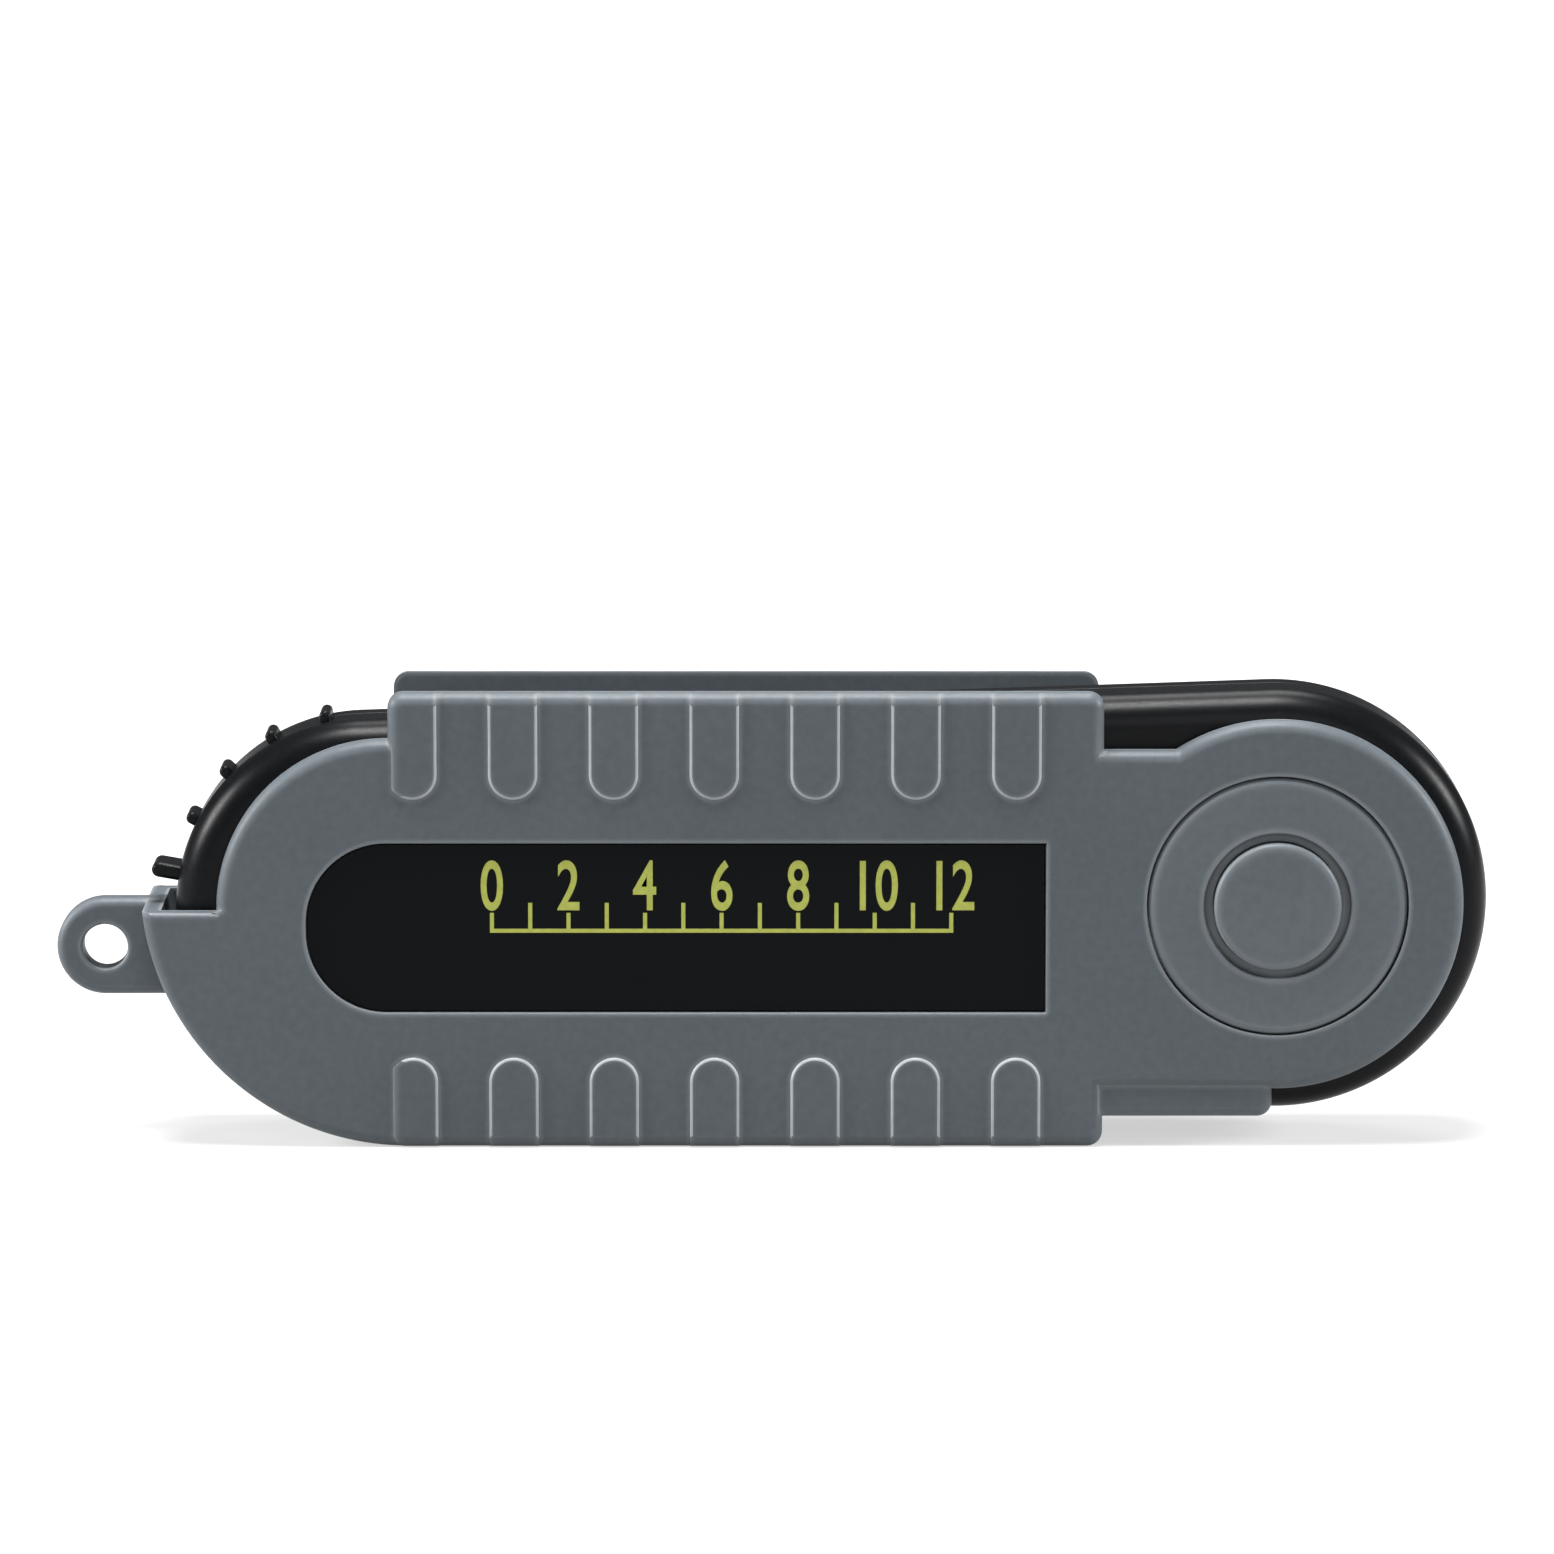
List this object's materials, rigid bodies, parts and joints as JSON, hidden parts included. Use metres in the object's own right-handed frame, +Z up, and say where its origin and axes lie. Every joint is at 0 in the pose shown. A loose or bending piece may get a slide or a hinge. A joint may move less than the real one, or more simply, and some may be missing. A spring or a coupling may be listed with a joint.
{
  "type": "folding pocket anemometer",
  "caption": "Pocket vane anemometer whose meter swings out of a two-plate cover, with a vane wheel in its head, display and keys behind the cover, a hinge release button and a lanyard eye.",
  "frame": {"origin": "middle of the flat bottom edge of the cover, halfway between its front and rear faces", "axes": "+X towards the pivot end, +Y from the labelled front face to the rear face, +Z up from the spine to the open side"},
  "size_m": [0.143, 0.0192, 0.0456],
  "materials": {
    "cover_plastic": "fine satin grey moulding",
    "case_plastic": "satin black moulding",
    "label_gloss": "glossy black printed panel",
    "screw_steel": "plain steel",
    "seal_rubber": "black silicone",
    "key_rubber": "grey silicone",
    "window_clear": "clear acrylic",
    "lcd_glass": "reflective display glass",
    "white_plastic": "white moulding",
    "board_green": "solder mask",
    "chip_black": "moulded black",
    "key_plastic": "satin light grey",
    "cell_steel": "nickel plated",
    "contact_gold": "plated spring strip",
    "jewel_red": "polished jewel",
    "vane_plastic": "thin light moulding",
    "coil_copper": "enamelled copper winding"
  },
  "bodies": {
    "cover": {"front_cover": "cover_plastic", "rear_cover": "cover_plastic", "front_label": "label_gloss", "cover_screws": "screw_steel"},
    "meter": {"front_case": "case_plastic", "rear_case": "case_plastic", "case_gasket": "seal_rubber", "case_screws": "screw_steel", "front_pivot_disc": "cover_plastic", "rear_pivot_disc": "cover_plastic", "pivot_screws": "screw_steel", "release_spring": "screw_steel", "lcd_window": "window_clear", "lcd_panel": "lcd_glass", "lcd_frame": "white_plastic", "lcd_connectors": "seal_rubber", "circuit_board": "board_green", "processor_chip": "chip_black", "key_mat": "key_rubber", "coin_cell": "cell_steel", "cell_contact": "contact_gold", "rim_contact": "contact_gold", "vane_ring": "case_plastic", "front_bearing": "jewel_red", "rear_bearing": "jewel_red", "pickup_coil": "coil_copper", "thermistor": "chip_black", "sensor_grille": "case_plastic"},
    "rotor": {"impeller": "vane_plastic", "impeller_shaft": "screw_steel", "rotor_magnet": "chip_black"},
    "release": {"release_button": "cover_plastic", "brake_plate": "screw_steel"},
    "power_key": {"power_key": "key_plastic"},
    "mode_key": {"mode_key": "key_plastic"},
    "hold_key": {"hold_key": "key_plastic"},
    "door": {"battery_door": "case_plastic", "battery_seal": "seal_rubber"}
  },
  "joints": [
    {"name": "cover_swing", "type": "hinge", "parent": "cover", "child": "meter", "pos_m": [0.0528, 0, 0.0243], "axis": [0, 1, 0], "range_deg": [0, 180]},
    {"name": "rotor_spin", "type": "hinge", "parent": "meter", "child": "rotor", "pos_m": [-0.0379, 0, 0.0233], "axis": [0, 1, 0], "continuous": true},
    {"name": "release_press", "type": "slide", "parent": "meter", "child": "release", "axis": [0, 1, 0], "range_m": [0, 0.0008], "stiffness_N_per_m": 2500, "springref_m": -0.001, "deforming": ["release_spring"]},
    {"name": "power_press", "type": "slide", "parent": "meter", "child": "power_key", "axis": [0, 1, 0], "range_m": [0, 0.0005], "stiffness_N_per_m": 2000, "springref_m": -0.0004},
    {"name": "mode_press", "type": "slide", "parent": "meter", "child": "mode_key", "axis": [0, 1, 0], "range_m": [0, 0.0005], "stiffness_N_per_m": 2000, "springref_m": -0.0004},
    {"name": "hold_press", "type": "slide", "parent": "meter", "child": "hold_key", "axis": [0, 1, 0], "range_m": [0, 0.0005], "stiffness_N_per_m": 2000, "springref_m": -0.0004},
    {"name": "door_twist", "type": "hinge", "parent": "meter", "child": "door", "pos_m": [0.0028, 0, 0.0243], "axis": [0, 1, 0], "range_deg": [0, 60]}
  ]
}
